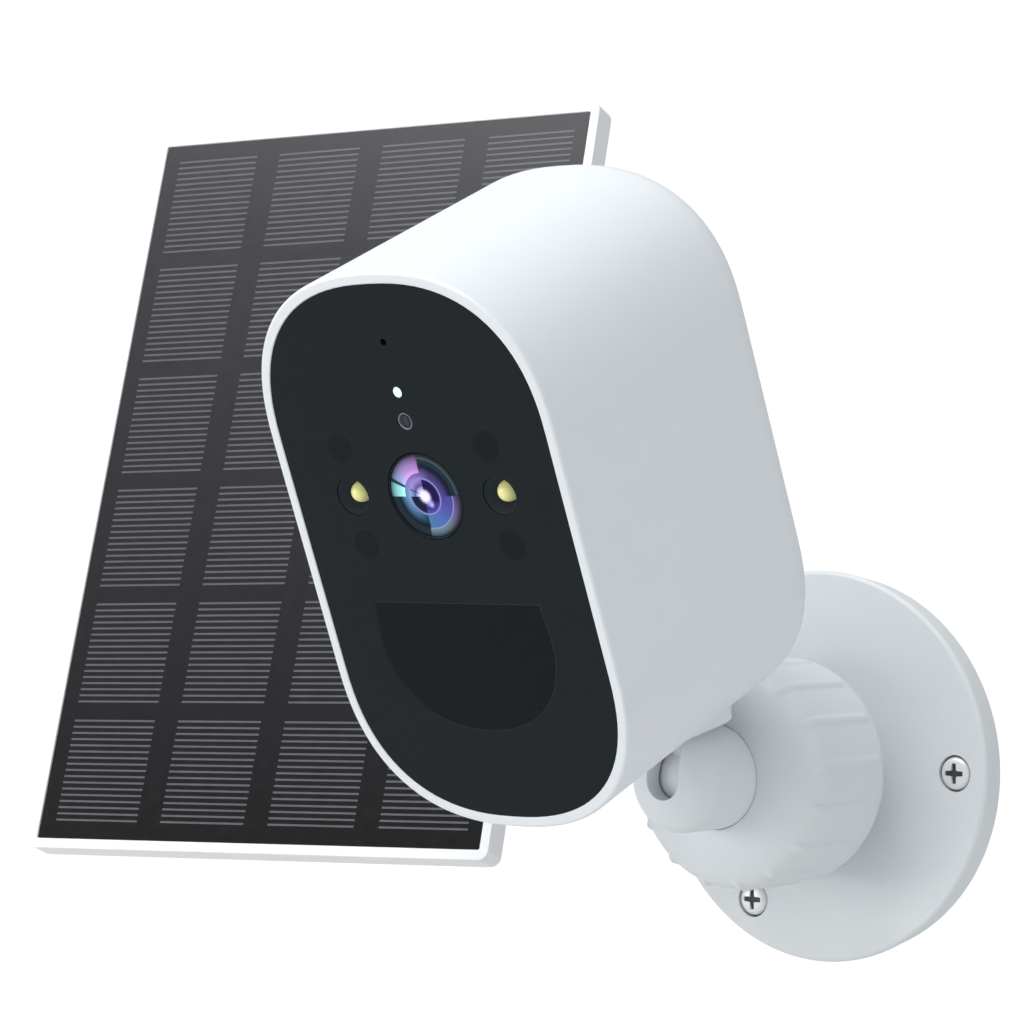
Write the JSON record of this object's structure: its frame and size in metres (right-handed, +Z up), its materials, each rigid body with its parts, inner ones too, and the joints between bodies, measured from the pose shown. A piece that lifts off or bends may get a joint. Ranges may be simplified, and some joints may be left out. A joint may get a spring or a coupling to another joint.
{
  "type": "solar-powered security camera",
  "caption": "Wall-mounted battery security camera on a ball mount with a locking collar, beside its solar panel on a two-axis wall bracket.",
  "frame": {"origin": "centre of the camera's wall plate, on the wall", "axes": "+Z up, +X to the right for a person facing the wall, +Y into the wall"},
  "size_m": [0.1803, 0.1336, 0.1621],
  "materials": {
    "white_shell": "satin, slightly glossy",
    "white_mount": "satin moulded",
    "panel_casing": "satin moulded",
    "black_front": "polished",
    "dark_window": "satin",
    "black_matte": "matte",
    "infrared_led": "polished",
    "black_rubber": "matte",
    "coated_glass": "coated",
    "yellow_led": "domed resin",
    "status_light": "clear",
    "circuit_board": "solder mask",
    "steel": "plated",
    "brass": "machined",
    "cell_wrap": "shrink film",
    "solar_cells": "laminated, glossy",
    "grey_plastic": "moulded",
    "white_rubber": "matte"
  },
  "bodies": {
    "wall_group": {"wall_plate": "white_mount", "wall_screw_1": "steel", "wall_screw_2": "steel", "wall_screw_3": "steel", "pressure_pad": "black_rubber", "panel_wall_plate": "white_mount", "bracket_screw_1": "steel", "bracket_screw_2": "steel", "bracket_screw_3": "steel", "yaw_pin": "steel"},
    "collar": {"lock_collar": "white_mount"},
    "socket": {"swivel_socket": "white_mount"},
    "neck": {"ball_neck": "white_mount", "mount_stud": "steel"},
    "nut": {"lock_nut": "white_mount"},
    "camera": {"outer_shell": "white_shell", "front_panel": "black_front", "seal_ring": "black_rubber", "lens_ring": "black_matte", "lens_glass": "coated_glass", "lens_barrel": "black_matte", "image_sensor": "circuit_board", "lamp_cup_left": "black_front", "lamp_cup_right": "black_front", "white_led_left": "yellow_led", "white_led_right": "yellow_led", "ir_led_upper_left": "infrared_led", "ir_led_upper_right": "infrared_led", "ir_led_lower_left": "infrared_led", "ir_led_lower_right": "infrared_led", "status_light_pipe": "status_light", "light_sensor": "black_front", "microphone": "steel", "pir_window": "dark_window", "pir_sensor": "steel", "led_board": "circuit_board", "main_board": "circuit_board", "inner_chassis": "grey_plastic", "board_screw_1": "steel", "board_screw_2": "steel", "rear_board": "circuit_board", "battery_cell_left": "cell_wrap", "battery_cell_right": "cell_wrap", "threaded_insert": "brass", "speaker": "black_matte", "wifi_antenna": "brass", "usb_socket": "steel"},
    "port_flap": {"port_cover": "white_rubber"},
    "power_key": {"power_button": "white_rubber"},
    "reset_key": {"reset_button": "black_matte"},
    "panel_swivel": {"swivel_block": "grey_plastic", "tilt_bolt": "steel"},
    "knob": {"tilt_knob": "grey_plastic"},
    "panel": {"panel_frame": "panel_casing", "solar_laminate": "solar_cells", "panel_back_cover": "panel_casing", "junction_box": "panel_casing", "cable_outlet": "black_rubber", "panel_foot": "grey_plastic"}
  },
  "joints": [
    {"name": "collar_turn", "type": "hinge", "parent": "wall_group", "child": "collar", "pos_m": [0, -0.0452, 0], "axis": [0, -1, 0], "range_deg": [0, 120]},
    {"name": "socket_swivel", "type": "hinge", "parent": "wall_group", "child": "socket", "pos_m": [0, -0.0452, 0], "axis": [0, -1, 0], "range_deg": [-90, 10]},
    {"name": "neck_tilt", "type": "hinge", "parent": "socket", "child": "neck", "pos_m": [0, -0.0452, 0], "axis": [1, 0, 0], "range_deg": [-2, 67]},
    {"name": "lock_nut_turn", "type": "hinge", "parent": "neck", "child": "nut", "pos_m": [0, -0.0452, 0], "axis": [0, -0.3875, 0.9219], "range_deg": [0, 90]},
    {"name": "camera_spin", "type": "hinge", "parent": "neck", "child": "camera", "pos_m": [0, -0.0452, 0], "axis": [0, -0.3875, 0.9219], "range_deg": [-45, 120]},
    {"name": "port_cover_hinge", "type": "hinge", "parent": "camera", "child": "port_flap", "pos_m": [-0.0005, -0.0538, 0.05091], "axis": [1, 0, 0], "range_deg": [0, 100]},
    {"name": "power_button_press", "type": "slide", "parent": "camera", "child": "power_key", "axis": [0, -0.9219, -0.3875], "range_m": [0, 0.0008], "stiffness_N_per_m": 600},
    {"name": "reset_button_press", "type": "slide", "parent": "camera", "child": "reset_key", "axis": [0, -0.9219, -0.3875], "range_m": [0, 0.0005], "stiffness_N_per_m": 600},
    {"name": "panel_yaw", "type": "hinge", "parent": "wall_group", "child": "panel_swivel", "pos_m": [-0.0932, -0.017, 0.0496], "axis": [0, 0, 1], "range_deg": [-30, 10]},
    {"name": "panel_tilt", "type": "hinge", "parent": "panel_swivel", "child": "panel", "pos_m": [-0.08973, -0.0367, 0.0496], "axis": [0.9848, 0.1736, 0], "range_deg": [-8, 45]},
    {"name": "tilt_knob_turn", "type": "hinge", "parent": "panel_swivel", "child": "knob", "pos_m": [-0.08973, -0.0367, 0.0496], "axis": [0.9848, 0.1736, 0], "range_deg": [0, 90]}
  ]
}
